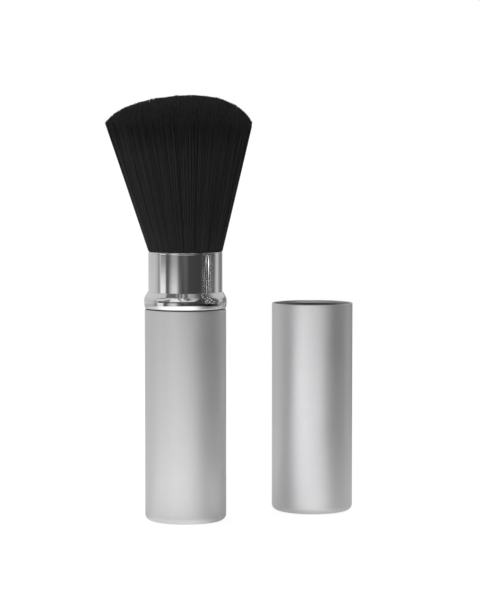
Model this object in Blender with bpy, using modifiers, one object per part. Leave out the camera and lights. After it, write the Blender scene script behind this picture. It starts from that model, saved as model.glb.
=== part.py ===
"""Retractable makeup brush, standing with its bristles out beside its cap.

A polished sleeve slides up out of the aluminium handle and gathers the flared
bristles, and the cap then closes over the sleeve and seats on the bead collar.
Metres, +Z up. The origin is the centre of the handle's base.
"""

import math

import bmesh
import bpy
from mathutils import Matrix, Vector
from mathutils.geometry import delaunay_2d_cdt

MM = 0.001

# Clearances: glued or pressed, sliding, and resting one on another
GLUE_GAP = 0.10 * MM
SLIDE_GAP = 0.20 * MM
SEAT_GAP = 0.30 * MM

# Sleeve, from which every diameter follows
SLEEVE_DIAMETER = 20.25 * MM
SLEEVE_WALL = 0.40 * MM
SLEEVE_SHOWS = 11.0 * MM
LIP_LINE_BELOW = 0.90 * MM
LIP_LINE_WIDTH = 0.50 * MM
LIP_LINE_DEPTH = 0.12 * MM
CRIMP_DEPTH = 0.15 * MM
CRIMP_WIDTH = 0.80 * MM

# Handle can
HANDLE_LENGTH = 58.0 * MM
HANDLE_WALL = 0.40 * MM
HANDLE_FLOOR = 0.80 * MM
CAN_CORNER = 1.60 * MM

# Guide bush and bead collar in the handle's mouth
BUSH_WALL = 0.30 * MM
BUSH_TAIL = 6.30 * MM
BEAD_WALL = 0.30 * MM
BEAD_RISE = 2.60 * MM
BEAD_BELLY = 2.00 * MM
BEAD_BELLY_ANGLE = 50.0
BEAD_DROP = 1.92 * MM
BEAD_TUCK = 0.45 * MM
BEAD_LIFT = 0.25 * MM
BEAD_FOOT_ANGLE = -75.0
SHOULDER_INSET_SHARE = 2.0

# Base plug and the screw through it
PLUG_HEIGHT = 5.00 * MM
PLUG_CHAMFER = 1.40 * MM
PLUG_WEB = 1.40 * MM
PLUG_POCKETS = 6
PLUG_POCKET_RADIUS = 1.50 * MM
PLUG_POCKET_DEPTH = 3.30 * MM
SCREW_RADIUS = 1.25 * MM
SCREW_LENGTH = 11.0 * MM
SCREW_HEAD_RADIUS = 2.70 * MM
SCREW_HEAD_HEIGHT = 1.50 * MM

# Stem
STEM_FOOT_RADIUS = 5.00 * MM
STEM_FOOT_HEIGHT = 1.40 * MM
STEM_CORE_RADIUS = 2.30 * MM
STEM_RIB_REACH = 4.00 * MM
STEM_RIB_THICKNESS = 1.40 * MM
STEM_WEBS = 4
STEM_WEB_THICKNESS = 0.90 * MM
STEM_HEAD_THICKNESS = 1.60 * MM
SPIGOT_HEIGHT = 4.00 * MM

# Slider foot and its brake ring
FOOT_FLANGE = 3.00 * MM
FOOT_SPIGOT = 2.60 * MM
FOOT_RING_WALL = 1.00 * MM
FOOT_HUB_WALL = 1.20 * MM
FOOT_WEB = 1.50 * MM
FOOT_WINDOWS = 4
FOOT_WINDOW_WIDTH = 3.20 * MM
FOOT_WINDOW_EDGE = 0.25 * MM
BRAKE_WIRE_RADIUS = 0.45 * MM

# Brush head
CUP_WALL = 0.35 * MM
CUP_HEIGHT = 11.0 * MM
GLUE_THICKNESS = 1.90 * MM
SLICE_THICKNESS = 1.20 * MM
STRANDS = 400
STRAND_WIDTH = 0.50 * MM
BUNDLE_INSET = 0.55 * MM
BRISTLES_SHOW = 42.6 * MM
HEAD_DIAMETER = 40.7 * MM
HEAD_LEAN = 1.75 * MM
DOME_DROP = 7.40 * MM
TRIM_SCATTER = 0.35 * MM
DOME_ROUND_SHARE = 0.56
DOME_SKEW_SHARE = 0.24
TIP_WIDTH_SHARE = 0.55

# Cap, which stands on its closed end beside the handle
CAP_WALL = 0.40 * MM
CAP_END = 0.80 * MM
LINER_WALL = 0.40 * MM
LINER_END = 0.80 * MM
LINER_RECESS = 0.80 * MM
CAP_SPARE = 2.50 * MM
GRIP_RIBS = 6
GRIP_RIB_RADIUS = 0.30 * MM
GRIP_RIB_HEIGHT = 0.12 * MM
GRIP_RIB_LENGTH = 8.00 * MM
CAP_ASIDE = 35.2 * MM
CAP_BEHIND = 16.5 * MM
CAP_RAISED = 0.25 * MM

# Facets of the turned pieces
SHOWN_STEPS = 48
INNER_STEPS = 32
POST_STEPS = 24

# Cuts run past the faces that they open
OVERRUN = 0.50 * MM

# Radii, from the sleeve outwards and inwards
SLEEVE_RADIUS = SLEEVE_DIAMETER / 2
SLEEVE_BORE = SLEEVE_RADIUS - SLEEVE_WALL
BUSH_BORE = SLEEVE_RADIUS + SLIDE_GAP
BUSH_RADIUS = BUSH_BORE + BUSH_WALL
HANDLE_BORE = BUSH_RADIUS + GLUE_GAP
HANDLE_RADIUS = HANDLE_BORE + HANDLE_WALL
LINER_BORE = SLEEVE_RADIUS + SEAT_GAP
LINER_RADIUS = LINER_BORE + LINER_WALL
CAP_BORE = LINER_RADIUS + GLUE_GAP
CAP_RADIUS = CAP_BORE + CAP_WALL
BEAD_BULGE = CAP_RADIUS - BUSH_BORE
FOOT_RADIUS = HANDLE_BORE - SLIDE_GAP
FOOT_SPIGOT_RADIUS = SLEEVE_BORE - GLUE_GAP
FOOT_RING_BORE = FOOT_SPIGOT_RADIUS - FOOT_RING_WALL
FOOT_BORE = math.hypot(STEM_RIB_REACH, STEM_RIB_THICKNESS / 2) + SLIDE_GAP
CUP_RADIUS = SLEEVE_BORE - SEAT_GAP
CUP_BORE = CUP_RADIUS - CUP_WALL
SPIGOT_RADIUS = CUP_BORE - CRIMP_DEPTH - GLUE_GAP
BUNDLE_RADIUS = CUP_BORE - BUNDLE_INSET

# Heights, from the floor of the handle upwards
PLUG_BOTTOM = HANDLE_FLOOR + SEAT_GAP
PLUG_TOP = PLUG_BOTTOM + PLUG_HEIGHT
RECESS_FLOOR = PLUG_TOP - STEM_FOOT_HEIGHT - GLUE_GAP
COUNTERBORE_TOP = RECESS_FLOOR - PLUG_WEB
FOOT_BOTTOM = PLUG_TOP + SEAT_GAP
FLANGE_TOP = FOOT_BOTTOM + FOOT_FLANGE
FOOT_TOP = FLANGE_TOP + FOOT_SPIGOT
SLEEVE_BOTTOM = FLANGE_TOP + GLUE_GAP
SLEEVE_CRIMP = SLEEVE_BOTTOM + FOOT_SPIGOT / 2
BUSH_BOTTOM = HANDLE_LENGTH - BUSH_TAIL
TRAVEL = BUSH_BOTTOM - SEAT_GAP - FLANGE_TOP
BEAD_MIDDLE = HANDLE_LENGTH + BEAD_LIFT - BEAD_DROP * math.sin(math.radians(BEAD_FOOT_ANGLE))
BEAD_TOP = BEAD_MIDDLE + BEAD_RISE
LIP_TOP = BEAD_TOP + SLEEVE_SHOWS
STEM_BOTTOM = RECESS_FLOOR + GLUE_GAP
HEAD_BOTTOM = FOOT_TOP + TRAVEL + SEAT_GAP
HEAD_TOP = HEAD_BOTTOM + STEM_HEAD_THICKNESS
CUP_BOTTOM = HEAD_TOP + GLUE_GAP
CUP_TOP = CUP_BOTTOM + CUP_HEIGHT
STEM_TOP = HEAD_TOP + SPIGOT_HEIGHT
GLUE_BOTTOM = STEM_TOP + SEAT_GAP
GLUE_TOP = GLUE_BOTTOM + GLUE_THICKNESS
SLICE_BOTTOM = GLUE_TOP + SEAT_GAP
ROOT_LEVEL = SLICE_BOTTOM + SLICE_THICKNESS
BRISTLE_PEAK = LIP_TOP + BRISTLES_SHOW
CAP_SEAT = BEAD_MIDDLE + BEAD_BELLY * math.sin(math.radians(BEAD_BELLY_ANGLE))
CAP_LENGTH = LIP_TOP + TRAVEL - CAP_SEAT + CAP_SPARE + LINER_END + SEAT_GAP + CAP_END
LINER_BOTTOM = CAP_END + SEAT_GAP
LINER_TOP = CAP_LENGTH - LINER_RECESS


def principled(name, colour, roughness, metallic=0.0):
    """A material of one finish."""
    material = bpy.data.materials.new(name)
    material.use_nodes = True
    shader = material.node_tree.nodes["Principled BSDF"]
    shader.inputs["Base Color"].default_value = (*colour, 1.0)
    shader.inputs["Roughness"].default_value = roughness
    shader.inputs["Metallic"].default_value = metallic
    return material


def placed(name, mesh, collection, parent=None, material=None):
    """An object for a mesh, in its collection and under its parent."""
    thing = bpy.data.objects.new(name, mesh)
    collection.objects.link(thing)
    thing.parent = parent
    if material:
        mesh.materials.append(material)
    return thing


def turned(name, profile, steps, collection, parent, material, closed=True):
    """A profile of (radius, height) points turned about Z. It runs down its outer side."""
    mesh = bpy.data.meshes.new(name)
    count = len(profile)
    edges = [(i, i + 1) for i in range(count - 1)]
    if closed:
        edges.append((count - 1, 0))
    mesh.from_pydata([(radius, 0.0, height) for radius, height in profile], edges, [])
    thing = placed(name, mesh, collection, parent, material)
    screw = thing.modifiers.new("Turn", "SCREW")
    screw.steps = steps
    screw.render_steps = steps
    screw.use_merge_vertices = True
    screw.merge_threshold = 1e-6
    screw.use_smooth_shade = False
    return thing


def oval(centre, reach, rise, start, end, pieces):
    """Points of an elliptical arc about (radius, height), from start to end in degrees."""
    points = []
    for i in range(pieces + 1):
        angle = math.radians(start + (end - start) * i / pieces)
        points.append((centre[0] + reach * math.cos(angle), centre[1] + rise * math.sin(angle)))
    return points


def arc(centre, radius, start, end, pieces):
    """Points of a circular arc in the profile's plane."""
    return oval(centre, radius, radius, start, end, pieces)


def crimp(radius, height, depth, width):
    """A shallow groove pressed into a wall, as points from top to bottom."""
    return [(radius, height + width / 2), (radius - depth, height), (radius, height - width / 2)]


def can_profile(radius, bore, length, end, corner):
    """A deep-drawn can, closed at the bottom, with round corners and a rolled mouth."""
    wall = radius - bore
    inner_corner = corner - wall
    rim = arc((bore + wall / 2, length - wall / 2), wall / 2, 180, 0, 3)
    inside = arc((bore - inner_corner, end + inner_corner), inner_corner, -90, 0, 2)
    outside = arc((radius - corner, corner), corner, 0, -90, 4)
    return [(0.0, end)] + inside + rim + outside + [(0.0, 0.0)]


def cutter(name, mesh, collection, parent=None):
    """A body that another piece is cut or joined by, and that isn't a piece itself."""
    thing = placed(name, mesh, collection, parent)
    thing.hide_render = True
    thing.display_type = "WIRE"
    return thing


def combine(thing, other, operation):
    """Cuts or joins one object by another."""
    modifier = thing.modifiers.new(operation.title(), "BOOLEAN")
    modifier.operation = operation
    modifier.solver = "EXACT"
    modifier.object = other


def spun(count, radius, start=0.0):
    """Matrices that set count copies on a circle, each turned to face outwards."""
    for i in range(count):
        turn = Matrix.Rotation(start + math.tau * i / count, 4, "Z")
        yield turn @ Matrix.Translation((radius, 0.0, 0.0))


def round_bars(name, matrices, radius, bottom, top, sides):
    """Upright round bars, one at each matrix."""
    shapes = bmesh.new()
    for matrix in matrices:
        middle = Matrix.Translation((0.0, 0.0, (bottom + top) / 2))
        bmesh.ops.create_cone(
            shapes,
            cap_ends=True,
            segments=sides,
            radius1=radius,
            radius2=radius,
            depth=top - bottom,
            matrix=matrix @ middle,
        )
    return mesh_from(name, shapes)


def blocks(name, matrices, size, middle):
    """Boxes of one size, one at each matrix."""
    shapes = bmesh.new()
    for matrix in matrices:
        place = matrix @ Matrix.Translation((0.0, 0.0, middle)) @ Matrix.Diagonal((*size, 1.0))
        bmesh.ops.create_cube(shapes, size=1.0, matrix=place)
    return mesh_from(name, shapes)


def mesh_from(name, shapes):
    """The mesh of a bmesh, which is freed."""
    mesh = bpy.data.meshes.new(name)
    shapes.to_mesh(mesh)
    shapes.free()
    return mesh


def make_handle_shell(parts, materials):
    """The can that is held in the hand."""
    profile = can_profile(HANDLE_RADIUS, HANDLE_BORE, HANDLE_LENGTH, HANDLE_FLOOR, CAN_CORNER)
    turned("handle_shell", profile, SHOWN_STEPS, parts, None, materials["matt_aluminium"], False)


def make_base_plug(parts, cutters, materials):
    """A plug in the closed end, with a socket for the stem and a counterbore for the screw."""
    radius = HANDLE_BORE - GLUE_GAP
    counterbore = SCREW_HEAD_RADIUS + SEAT_GAP
    hole = SCREW_RADIUS + SLIDE_GAP
    socket = STEM_FOOT_RADIUS + SLIDE_GAP
    profile = [
        (counterbore, PLUG_BOTTOM),
        (counterbore, COUNTERBORE_TOP),
        (hole, COUNTERBORE_TOP),
        (hole, RECESS_FLOOR),
        (socket, RECESS_FLOOR),
        (socket, PLUG_TOP),
        (radius, PLUG_TOP),
        (radius, PLUG_BOTTOM + PLUG_CHAMFER),
        (radius - PLUG_CHAMFER, PLUG_BOTTOM),
    ]
    plug = turned("base_plug", profile, INNER_STEPS, parts, None, materials["white_plastic"])
    ring = (counterbore + radius - PLUG_CHAMFER) / 2
    pockets = round_bars(
        "plug_pockets",
        spun(PLUG_POCKETS, ring),
        PLUG_POCKET_RADIUS,
        PLUG_BOTTOM - OVERRUN,
        PLUG_BOTTOM + PLUG_POCKET_DEPTH,
        10,
    )
    combine(plug, cutter("plug_pockets", pockets, cutters), "DIFFERENCE")


def make_stem_screw(parts, materials):
    """A pan-head screw driven up through the plug into the stem."""
    under_head = COUNTERBORE_TOP - GLUE_GAP
    head_bottom = under_head - SCREW_HEAD_HEIGHT
    crown = oval((0.0, under_head), SCREW_HEAD_RADIUS, SCREW_HEAD_HEIGHT, 0, -90, 4)
    shank_top = under_head + SCREW_LENGTH
    profile = [
        (0.0, shank_top),
        (SCREW_RADIUS / 2, shank_top - SCREW_RADIUS),
        (SCREW_RADIUS, shank_top - 2 * SCREW_RADIUS),
        (SCREW_RADIUS, under_head),
        *crown[:-1],
        (0.0, head_bottom),
    ]
    turned("stem_screw", profile, POST_STEPS // 2, parts, None, materials["zinc_steel"], False)


def make_brush_stem(parts, cutters, materials):
    """A post with a foot in the plug's socket, a core with webs and ribs, and a head for the cup."""
    pilot = SCREW_RADIUS + SLIDE_GAP
    pilot_top = COUNTERBORE_TOP + SCREW_LENGTH + SEAT_GAP
    foot_top = STEM_BOTTOM + STEM_FOOT_HEIGHT
    head_radius = CUP_RADIUS
    profile = [
        (0.0, STEM_TOP),
        (SPIGOT_RADIUS, STEM_TOP),
        *crimp(SPIGOT_RADIUS, CUP_BOTTOM + SPIGOT_HEIGHT / 2, CRIMP_DEPTH, CRIMP_WIDTH),
        (SPIGOT_RADIUS, HEAD_TOP),
        (head_radius, HEAD_TOP),
        (head_radius, HEAD_BOTTOM),
        (STEM_CORE_RADIUS, HEAD_BOTTOM),
    ]
    spacing = (HEAD_BOTTOM - foot_top) / (STEM_WEBS + 1)
    for i in range(STEM_WEBS, 0, -1):
        level = foot_top + i * spacing
        profile += [
            (STEM_CORE_RADIUS, level + STEM_WEB_THICKNESS / 2),
            (STEM_RIB_REACH, level + STEM_WEB_THICKNESS / 2),
            (STEM_RIB_REACH, level - STEM_WEB_THICKNESS / 2),
            (STEM_CORE_RADIUS, level - STEM_WEB_THICKNESS / 2),
        ]
    profile += [
        (STEM_CORE_RADIUS, foot_top),
        (STEM_FOOT_RADIUS, foot_top),
        (STEM_FOOT_RADIUS, STEM_BOTTOM),
        (pilot, STEM_BOTTOM),
        (pilot, pilot_top),
        (0.0, pilot_top + pilot),
    ]
    stem = turned("brush_stem", profile, POST_STEPS, parts, None, materials["white_plastic"], False)
    rib_bottom = foot_top - STEM_FOOT_HEIGHT / 2
    rib_top = HEAD_BOTTOM + STEM_HEAD_THICKNESS / 2
    reach = STEM_RIB_REACH - STEM_CORE_RADIUS + pilot_wall()
    size = (reach, STEM_RIB_THICKNESS, rib_top - rib_bottom)
    ring = STEM_RIB_REACH - reach / 2
    ribs = blocks("stem_ribs", spun(4, ring), size, (rib_bottom + rib_top) / 2)
    combine(stem, cutter("stem_ribs", ribs, cutters), "UNION")


def pilot_wall():
    """How far a rib is rooted in the wall of the stem's core, short of its pilot hole."""
    return (STEM_CORE_RADIUS - SCREW_RADIUS - SLIDE_GAP) / 2


def make_bristle_cup(parts, materials):
    """A drawn ferrule with two crimps: on the stem's spigot, and round the roots."""
    lower = CUP_BOTTOM + SPIGOT_HEIGHT / 2
    upper = SLICE_BOTTOM + SLICE_THICKNESS / 2
    rim = arc((CUP_BORE + CUP_WALL / 2, CUP_TOP - CUP_WALL / 2), CUP_WALL / 2, 180, 0, 2)
    outside = []
    inside = []
    for level in (upper, lower):
        outside += crimp(CUP_RADIUS, level, CRIMP_DEPTH, CRIMP_WIDTH)
        inside += crimp(CUP_BORE, level, CRIMP_DEPTH, CRIMP_WIDTH)
    profile = rim + outside + [(CUP_RADIUS, CUP_BOTTOM), (CUP_BORE, CUP_BOTTOM)] + inside[::-1]
    turned("bristle_cup", profile, INNER_STEPS, parts, None, materials["polished_aluminium"])


def make_glue_plug(parts, materials):
    """The resin under the roots."""
    radius = CUP_BORE - GLUE_GAP
    profile = [(0.0, GLUE_TOP), (radius, GLUE_TOP), (radius, GLUE_BOTTOM), (0.0, GLUE_BOTTOM)]
    turned("glue_plug", profile, INNER_STEPS, parts, None, materials["resin"], False)


def strand_roots():
    """Triangles at the roots, set out on a sunflower spiral so that they lie evenly in the cup."""
    half = STRAND_WIDTH / 2
    reach = BUNDLE_RADIUS - half
    golden = math.pi * (3 - math.sqrt(5))
    roots = []
    for i in range(STRANDS):
        radius = reach * math.sqrt((i + 0.5) / STRANDS)
        turn = i * golden
        centre = Vector((radius * math.cos(turn), radius * math.sin(turn)))
        corners = [
            centre + half * Vector((math.cos(turn + k * math.tau / 3), math.sin(turn + k * math.tau / 3)))
            for k in range(3)
        ]
        roots.append(corners)
    return roots


def glued_slice(shapes, roots):
    """A disc of set roots whose top face holds every root triangle. Returns those faces."""
    rim_radius = CUP_BORE - CRIMP_DEPTH - GLUE_GAP
    points = [
        Vector((rim_radius * math.cos(math.tau * i / INNER_STEPS), rim_radius * math.sin(math.tau * i / INNER_STEPS)))
        for i in range(INNER_STEPS)
    ]
    edges = [(i, (i + 1) % INNER_STEPS) for i in range(INNER_STEPS)]
    for corners in roots:
        first = len(points)
        points += corners
        edges += [(first, first + 1), (first + 1, first + 2), (first + 2, first)]
    flat, _, triangles, origin, _, _ = delaunay_2d_cdt(points, edges, [], 0, MM * MM)
    verts = [shapes.verts.new((*point, ROOT_LEVEL)) for point in flat]
    group = [ids[0] for ids in origin]
    root_faces = []
    for triangle in triangles:
        face = shapes.faces.new([verts[i] for i in triangle])
        ids = sorted(group[i] for i in triangle)
        whole = ids[0] >= INNER_STEPS and ids[2] == ids[0] + 2
        if whole and (ids[0] - INNER_STEPS) % 3 == 0:
            root_faces.append(face)
    rim = [verts[group.index(i)] for i in range(INNER_STEPS)]
    bottom = [shapes.verts.new((vert.co.x, vert.co.y, SLICE_BOTTOM)) for vert in rim]
    for i in range(INNER_STEPS):
        after = (i + 1) % INNER_STEPS
        shapes.faces.new((rim[after], rim[i], bottom[i], bottom[after]))
    shapes.faces.new(bottom[::-1])
    return root_faces


def make_bristles(parts, materials):
    """Strands drawn up out of a glued slice.

    Every strand lies on one fan of straight lines: up to the lip the bundle fills the sleeve,
    and above it the bundle spreads to the head's diameter and leans, so no two strands cross.
    """
    lip_scale = (SLEEVE_BORE - SEAT_GAP) / BUNDLE_RADIUS
    rim_level = BRISTLE_PEAK - DOME_DROP
    rim_scale = HEAD_DIAMETER / 2 / BUNDLE_RADIUS
    shapes = bmesh.new()
    faces = glued_slice(shapes, strand_roots())

    faces = bmesh.ops.extrude_discrete_faces(shapes, faces=faces)["faces"]
    for face in faces:
        for vert in face.verts:
            vert.co = (vert.co.x * lip_scale, vert.co.y * lip_scale, LIP_TOP)

    faces = bmesh.ops.extrude_discrete_faces(shapes, faces=faces)["faces"]
    for i, face in enumerate(faces):
        home = face.calc_center_median().xy / lip_scale
        share = home.length / BUNDLE_RADIUS
        aside_share = home.x / BUNDLE_RADIUS
        round_share = DOME_ROUND_SHARE * share**2 + (1 - DOME_ROUND_SHARE) * share**4
        skew_share = DOME_SKEW_SHARE * aside_share * (1 - share**2)
        scatter_share = math.sin(i * i) / 2
        level = BRISTLE_PEAK - DOME_DROP * (round_share - skew_share) + TRIM_SCATTER * scatter_share
        climb_share = (level - LIP_TOP) / (rim_level - LIP_TOP)
        scale = lip_scale + (rim_scale - lip_scale) * climb_share
        middle = home * scale
        for vert in face.verts:
            offset = (vert.co.xy * scale / lip_scale - middle) * TIP_WIDTH_SHARE
            place = middle + offset
            vert.co = (place.x - HEAD_LEAN * climb_share, place.y, level)
    bmesh.ops.recalc_face_normals(shapes, faces=shapes.faces)
    placed("bristles", mesh_from("bristles", shapes), parts, None, materials["dark_bristle"])


def bead_line(inset, end, above, below):
    """The bead's outline, or a line inset from it: a straight shoulder, a belly, then a tuck."""
    start = (BUSH_BORE, BEAD_TOP - SHOULDER_INSET_SHARE * inset)
    belly_centre = (BUSH_BORE, BEAD_MIDDLE)
    tuck_centre = (CAP_RADIUS - BEAD_TUCK, BEAD_MIDDLE)
    belly = oval(belly_centre, BEAD_BULGE - inset, BEAD_BELLY - inset, BEAD_BELLY_ANGLE, 0, above)
    tuck = oval(tuck_centre, BEAD_TUCK - inset, BEAD_DROP - inset, 0, end, below)
    return [start] + belly + tuck[1:]


def make_guide_bush(parts, materials):
    """A bush with a tail glued into the can's mouth and a head that the bead is crimped over."""
    inset = BEAD_WALL + GLUE_GAP
    profile = [
        *bead_line(inset, -60, 2, 2),
        (BUSH_RADIUS, HANDLE_LENGTH),
        (BUSH_RADIUS, BUSH_BOTTOM),
        (BUSH_BORE, BUSH_BOTTOM),
    ]
    turned("guide_bush", profile, SHOWN_STEPS, parts, None, materials["black_plastic"])


def make_bead_collar(parts, materials):
    """A stamped bead, as wide as the cap that closes on it, turned in under the bush's head."""
    outside = bead_line(0.0, BEAD_FOOT_ANGLE, 4, 4)
    inside = bead_line(BEAD_WALL, BEAD_FOOT_ANGLE, 2, 3)
    turned("bead_collar", outside + inside[::-1], SHOWN_STEPS, parts, None, materials["chrome"])


def make_chrome_sleeve(parts, parent, materials):
    """The tube that slides: a rolled lip with a fine line under it, and a crimp onto its foot."""
    half = SLEEVE_WALL / 2
    line = LIP_TOP - LIP_LINE_BELOW
    profile = [
        *arc((SLEEVE_BORE + half, LIP_TOP - half), half, 180, 0, 4),
        *crimp(SLEEVE_RADIUS, line, LIP_LINE_DEPTH, LIP_LINE_WIDTH),
        *crimp(SLEEVE_RADIUS, SLEEVE_CRIMP, CRIMP_DEPTH, CRIMP_WIDTH),
        (SLEEVE_RADIUS, SLEEVE_BOTTOM),
        (SLEEVE_BORE, SLEEVE_BOTTOM),
        *crimp(SLEEVE_BORE, SLEEVE_CRIMP, CRIMP_DEPTH, CRIMP_WIDTH)[::-1],
    ]
    turned("chrome_sleeve", profile, SHOWN_STEPS, parts, parent, materials["chrome"])


def make_slider_foot(parts, cutters, parent, materials):
    """A foot with a grooved flange, a spigot in the sleeve, and a hub on the stem, joined by spokes."""
    hub = FOOT_BORE + FOOT_HUB_WALL
    web_top = FOOT_BOTTOM + FOOT_WEB
    groove = (FOOT_BOTTOM + FLANGE_TOP) / 2
    groove_half = BRAKE_WIRE_RADIUS + GLUE_GAP
    groove_floor = FOOT_RADIUS - 2 * BRAKE_WIRE_RADIUS
    profile = [
        (FOOT_BORE, FOOT_BOTTOM),
        (FOOT_BORE, FOOT_TOP),
        (hub, FOOT_TOP),
        (hub, web_top),
        (FOOT_RING_BORE, web_top),
        (FOOT_RING_BORE, FOOT_TOP),
        (FOOT_SPIGOT_RADIUS, FOOT_TOP),
        *crimp(FOOT_SPIGOT_RADIUS, SLEEVE_CRIMP, CRIMP_DEPTH, CRIMP_WIDTH),
        (FOOT_SPIGOT_RADIUS, FLANGE_TOP),
        (FOOT_RADIUS, FLANGE_TOP),
        (FOOT_RADIUS, groove + groove_half),
        (groove_floor, groove + groove_half),
        (groove_floor, groove - groove_half),
        (FOOT_RADIUS, groove - groove_half),
        (FOOT_RADIUS, FOOT_BOTTOM),
    ]
    foot = turned("slider_foot", profile, INNER_STEPS, parts, parent, materials["black_plastic"])
    inner = hub + FOOT_WINDOW_EDGE
    outer = math.sqrt((FOOT_RING_BORE - FOOT_WINDOW_EDGE) ** 2 - (FOOT_WINDOW_WIDTH / 2) ** 2)
    size = (outer - inner, FOOT_WINDOW_WIDTH, FOOT_WEB + 2 * OVERRUN)
    windows = blocks(
        "foot_windows",
        spun(FOOT_WINDOWS, (inner + outer) / 2, math.pi / FOOT_WINDOWS),
        size,
        FOOT_BOTTOM + FOOT_WEB / 2,
    )
    combine(foot, cutter("foot_windows", windows, cutters), "DIFFERENCE")


def make_brake_ring(parts, parent, materials):
    """The O-ring in the foot's groove."""
    wire_centre = FOOT_RADIUS - BRAKE_WIRE_RADIUS + GLUE_GAP
    bpy.ops.mesh.primitive_torus_add(
        major_radius=wire_centre,
        minor_radius=BRAKE_WIRE_RADIUS,
        major_segments=INNER_STEPS,
        minor_segments=6,
        location=(0.0, 0.0, (FOOT_BOTTOM + FLANGE_TOP) / 2),
    )
    ring = bpy.context.object
    ring.name = ring.data.name = "brake_ring"
    ring.data.materials.append(materials["rubber"])
    for collection in list(ring.users_collection):
        collection.objects.unlink(ring)
    parts.objects.link(ring)
    ring.parent = parent


def make_cap_shell(parts, parent, materials):
    """The cap's can, standing on its closed end."""
    profile = can_profile(CAP_RADIUS, CAP_BORE, CAP_LENGTH, CAP_END, CAN_CORNER)
    turned("cap_shell", profile, SHOWN_STEPS, parts, parent, materials["matt_aluminium"], False)


def make_cap_liner(parts, cutters, parent, materials):
    """The cap's liner, with ribs inside its mouth that grip the sleeve."""
    corner = CAN_CORNER - CAP_WALL
    inner_corner = corner - LINER_WALL
    inside = arc(
        (LINER_BORE - inner_corner, LINER_BOTTOM + LINER_END + inner_corner), inner_corner, -90, 0, 2
    )
    outside = arc((LINER_RADIUS - corner, LINER_BOTTOM + corner), corner, 0, -90, 2)
    profile = [
        (0.0, LINER_BOTTOM + LINER_END),
        *inside,
        (LINER_BORE, LINER_TOP),
        (LINER_RADIUS, LINER_TOP),
        *outside,
        (0.0, LINER_BOTTOM),
    ]
    liner = turned("cap_liner", profile, SHOWN_STEPS, parts, parent, materials["black_plastic"], False)
    ring = LINER_BORE - GRIP_RIB_HEIGHT + GRIP_RIB_RADIUS
    rib_top = LINER_TOP - LINER_RECESS
    ribs = round_bars(
        "grip_ribs",
        spun(GRIP_RIBS, ring, math.pi / SHOWN_STEPS),
        GRIP_RIB_RADIUS,
        rib_top - GRIP_RIB_LENGTH,
        rib_top,
        8,
    )
    combine(liner, cutter("grip_ribs", ribs, cutters, parent), "UNION")


def build():
    """Clears the scene and builds the brush and its cap."""
    for thing in list(bpy.data.objects):
        bpy.data.objects.remove(thing)
    parts = bpy.data.collections.new("retractable_makeup_brush")
    cutters = bpy.data.collections.new("cutters")
    for collection in (parts, cutters):
        bpy.context.scene.collection.children.link(collection)
    materials = {
        "matt_aluminium": principled("matt_aluminium", (0.60, 0.60, 0.61), 0.38, 1.0),
        "polished_aluminium": principled("polished_aluminium", (0.78, 0.78, 0.79), 0.15, 1.0),
        "chrome": principled("chrome", (0.80, 0.80, 0.81), 0.06, 1.0),
        "zinc_steel": principled("zinc_steel", (0.62, 0.63, 0.65), 0.30, 1.0),
        "dark_bristle": principled("dark_bristle", (0.012, 0.012, 0.013), 0.55),
        "white_plastic": principled("white_plastic", (0.78, 0.78, 0.76), 0.45),
        "black_plastic": principled("black_plastic", (0.03, 0.03, 0.03), 0.45),
        "rubber": principled("rubber", (0.02, 0.02, 0.02), 0.75),
        "resin": principled("resin", (0.55, 0.47, 0.30), 0.30),
    }

    make_handle_shell(parts, materials)
    make_base_plug(parts, cutters, materials)
    make_stem_screw(parts, materials)
    make_brush_stem(parts, cutters, materials)
    make_bristle_cup(parts, materials)
    make_glue_plug(parts, materials)
    make_bristles(parts, materials)
    make_guide_bush(parts, materials)
    make_bead_collar(parts, materials)

    slide = placed("sleeve_axis", None, parts)
    make_chrome_sleeve(parts, slide, materials)
    make_slider_foot(parts, cutters, slide, materials)
    make_brake_ring(parts, slide, materials)

    stand = placed("cap_axis", None, parts)
    stand.location = (CAP_ASIDE, CAP_BEHIND, CAP_RAISED)
    make_cap_shell(parts, stand, materials)
    make_cap_liner(parts, cutters, stand, materials)


build()
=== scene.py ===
"""Retractable makeup brush, standing with its bristles out beside its cap.

The sections follow the brush as it is put together: the can and what is glued into its
foot, the bead and the sleeve that slides through it, the head of bristles, and the cap.
"""

import math

import bpy
import numpy as np
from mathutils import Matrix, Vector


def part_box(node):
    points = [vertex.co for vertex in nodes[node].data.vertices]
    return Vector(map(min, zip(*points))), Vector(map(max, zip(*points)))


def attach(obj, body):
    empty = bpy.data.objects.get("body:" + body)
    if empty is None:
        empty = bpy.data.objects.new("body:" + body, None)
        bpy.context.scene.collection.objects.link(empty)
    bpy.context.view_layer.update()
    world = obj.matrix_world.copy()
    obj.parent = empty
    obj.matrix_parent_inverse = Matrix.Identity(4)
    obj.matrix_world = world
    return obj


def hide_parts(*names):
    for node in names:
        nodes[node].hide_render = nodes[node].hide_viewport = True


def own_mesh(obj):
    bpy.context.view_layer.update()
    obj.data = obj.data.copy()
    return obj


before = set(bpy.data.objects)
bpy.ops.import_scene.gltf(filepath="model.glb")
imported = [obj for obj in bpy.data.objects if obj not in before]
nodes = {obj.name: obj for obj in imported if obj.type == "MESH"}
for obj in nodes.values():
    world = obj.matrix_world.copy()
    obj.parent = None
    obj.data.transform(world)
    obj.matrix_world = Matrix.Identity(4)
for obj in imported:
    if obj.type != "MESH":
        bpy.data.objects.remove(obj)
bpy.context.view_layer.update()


# Studio. A grey surround with the dark and bright strips that polished metal needs to look
# polished, one soft lamp in front at the left, and two narrow ones on the cap. The camera sees
# only white, and a pale floor that keeps the shadow. Angles are in degrees.
MM = 0.001
ON_AXIS = 1e-9
FLOOR_RADIUS = 0.60
FLOOR_DROP = 0.1 * MM
FLOOR_RINGS = 24
FLOOR_STEPS = 96
FLOOR_COLOUR = (0.40, 0.40, 0.40)
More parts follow.
